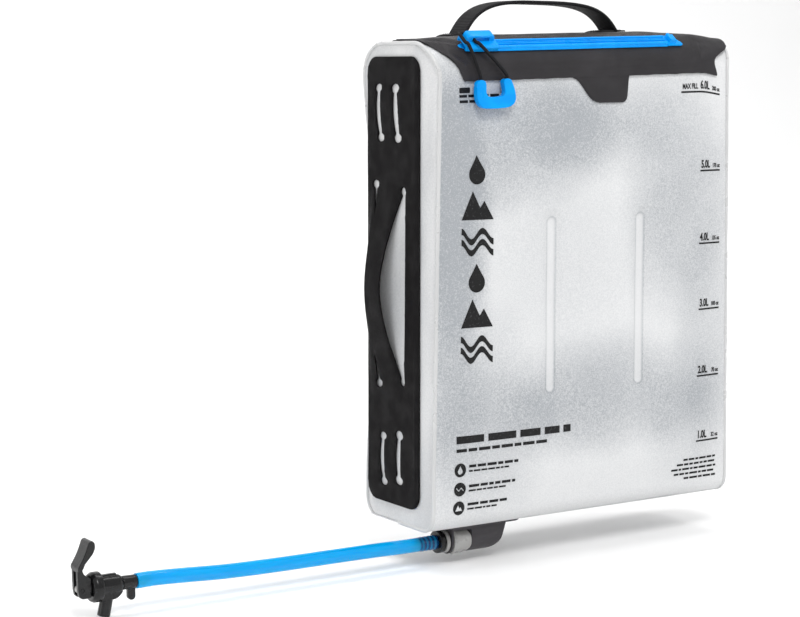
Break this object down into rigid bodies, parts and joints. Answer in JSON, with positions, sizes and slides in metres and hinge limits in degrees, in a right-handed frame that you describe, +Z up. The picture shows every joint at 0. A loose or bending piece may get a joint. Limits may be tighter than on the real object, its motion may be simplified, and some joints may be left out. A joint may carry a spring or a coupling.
{
  "type": "hydration bladder",
  "caption": "Box-shaped welded film water reservoir with a sealing zip mouth, webbing handle, lash panels, quick-release port, outlet hose and lever tap.",
  "frame": {"origin": "flat underside of the top handle's crown, where the bag hangs", "axes": "+Z up, +X across the bag's width with the hose leaving toward -X, front face toward -Y"},
  "size_m": [0.5294, 0.1002, 0.3981],
  "materials": {
    "film": "translucent frosted film",
    "weld": "satin welded edge",
    "band": "coated woven, matt",
    "zip_blue": "smooth moulded",
    "cord": "braided",
    "webbing": "woven webbing",
    "coated_fabric": "coated woven, matt",
    "port_grey": "satin moulded",
    "button_grey": "satin moulded",
    "tap_black": "glossy moulded",
    "hose_blue": "translucent flexible tube",
    "seal_rubber": "matt",
    "steel": "bright wire"
  },
  "bodies": {
    "reservoir": {"front_panel": "film", "back_panel": "film", "floor_panel": "film", "gusset_left": "film", "gusset_right": "film", "inner_web_left": "film", "inner_web_right": "film", "weld_left": "weld", "weld_right": "weld", "weld_front_bottom": "weld", "weld_back_bottom": "weld", "closure_band": "band", "zip_track_upper": "zip_blue", "zip_track_lower": "zip_blue", "zip_end_stop": "zip_blue", "zip_end_tail": "zip_blue", "handle_foot_left": "webbing", "handle_foot_right": "webbing", "handle_anchor_left": "coated_fabric", "handle_anchor_right": "coated_fabric", "lash_panel_left": "coated_fabric", "lash_panel_right": "coated_fabric", "port_flange": "port_grey", "port_housing": "port_grey", "poppet_spring": "steel", "button_spring": "steel"},
    "slider": {"zip_slider": "zip_blue", "pull_cord_loop": "cord"},
    "pull": {"pull_cord_left": "cord", "pull_cord_right": "cord", "pull_grip": "zip_blue"},
    "tab": {"pull_tab": "band"},
    "handle": {"handle_strap": "webbing"},
    "button": {"release_button": "button_grey"},
    "poppet": {"port_poppet": "port_grey"},
    "seal": {"plug_seal": "seal_rubber"},
    "hose_line": {"hose_plug": "tap_black", "outlet_hose": "hose_blue", "tap_inlet": "tap_black", "tap_body": "tap_black", "tap_cap": "tap_black", "tap_spring": "steel"},
    "stem": {"tap_stem": "button_grey", "stem_seal": "seal_rubber", "lever_pin": "steel"},
    "lever": {"tap_lever": "tap_black"}
  },
  "joints": [
    {"name": "zip_slide", "type": "slide", "parent": "reservoir", "child": "slider", "axis": [0.9996, 0, 0.0265], "range_m": [0, 0.152]},
    {"name": "pull_swing", "type": "hinge", "parent": "slider", "child": "pull", "pos_m": [-0.0926, -0.05975, -0.02776], "axis": [-0.9996, 0, -0.0265], "range_deg": [0, 85], "deforming": ["pull_cord_loop"]},
    {"name": "tab_lift", "type": "hinge", "parent": "reservoir", "child": "tab", "pos_m": [0.0145, -0.06195, -0.0527], "axis": [-1, 0, 0], "range_deg": [0, 65]},
    {"name": "handle_fold", "type": "hinge", "parent": "reservoir", "child": "handle", "pos_m": [0.0045, 0, -0.0169], "axis": [0.9996, 0, 0.0265], "range_deg": [-45, 45], "stiffness_Nm_per_rad": 0.02, "deforming": ["handle_foot_left", "handle_foot_right"]},
    {"name": "button_press", "type": "slide", "parent": "reservoir", "child": "button", "axis": [0, 1, 0], "range_m": [0, 0.001], "stiffness_N_per_m": 800, "deforming": ["button_spring"]},
    {"name": "plug_pull", "type": "slide", "parent": "reservoir", "child": "seal", "axis": [-1, 0, 0], "range_m": [0, 0.022]},
    {"name": "plug_swivel", "type": "hinge", "parent": "seal", "child": "hose_line", "pos_m": [-0.0955, -0.033, -0.3789], "axis": [1, 0, 0], "continuous": true},
    {"name": "poppet_slide", "type": "slide", "parent": "reservoir", "child": "poppet", "axis": [-1, 0, 0], "range_m": [0, 0.0016], "deforming": ["poppet_spring"]},
    {"name": "stem_slide", "type": "slide", "parent": "hose_line", "child": "stem", "axis": [-1, 0, 0], "range_m": [0, 0.0023], "deforming": ["tap_spring"]},
    {"name": "lever_press", "type": "hinge", "parent": "stem", "child": "lever", "pos_m": [-0.3811, -0.033, -0.3743], "axis": [0, 1, 0], "range_deg": [0, 22], "stiffness_Nm_per_rad": 0.06, "springref_deg": -5.73}
  ],
  "couplings": [
    {"joint": "poppet_slide", "follows": "plug_pull", "ratio": 0.0727},
    {"joint": "stem_slide", "follows": "lever_press", "m_per_rad": 0.00586}
  ]
}
